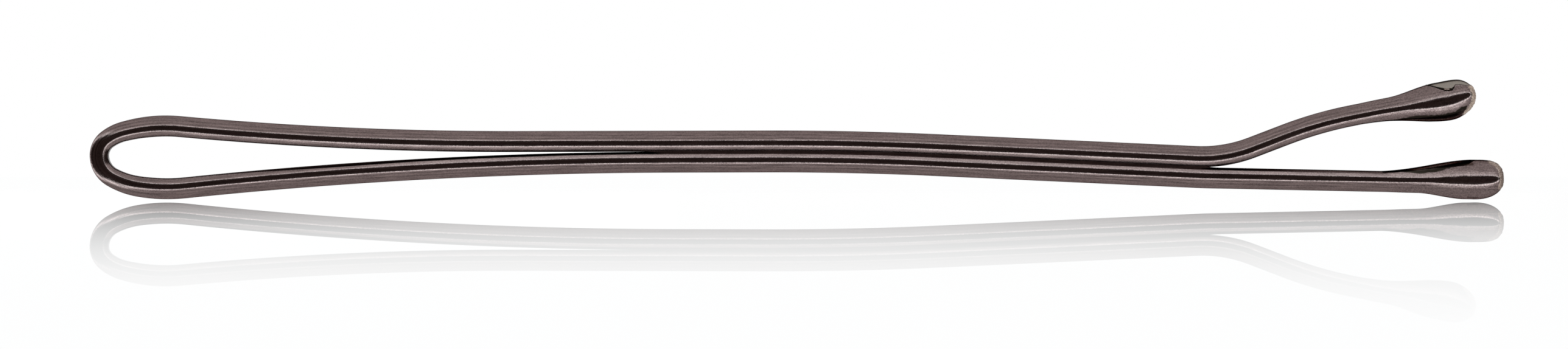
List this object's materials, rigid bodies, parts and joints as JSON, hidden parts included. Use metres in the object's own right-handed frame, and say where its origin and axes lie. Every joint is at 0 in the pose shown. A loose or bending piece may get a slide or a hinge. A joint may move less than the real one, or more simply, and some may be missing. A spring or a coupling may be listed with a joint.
{
  "type": "bobby pin",
  "caption": "Straight-legged bobby pin of flattened spring wire: closed bow, legs pressed together in a grip, upper leg kicked up, rounded dipped tips.",
  "frame": {"origin": "midway along the pin's length and across the wire's width, on the surface that the pin stands on edge on", "axes": "+X along the pin from the bow to the tips, +Y across the width of the flat wire, +Z the way the legs open"},
  "size_m": [0.06, 0.002, 0.0051],
  "materials": {
    "wire_lacquer": "dark brown baked lacquer on spring steel, satin with a gloss sheen",
    "tip_lacquer": "dipped resin bead under the same dark brown lacquer"
  },
  "bodies": {
    "lower_leg": {"lower_leg": "wire_lacquer", "bow": "wire_lacquer", "lower_tip": "tip_lacquer"},
    "upper_leg": {"upper_leg": "wire_lacquer", "upper_tip": "tip_lacquer"}
  },
  "joints": [
    {"name": "upper_leg_spring", "type": "hinge", "parent": "lower_leg", "child": "upper_leg", "pos_m": [-0.02372, 0, 0.00334], "axis": [0, -1, 0], "range_deg": [0, 20], "stiffness_Nm_per_rad": 0.34}
  ]
}
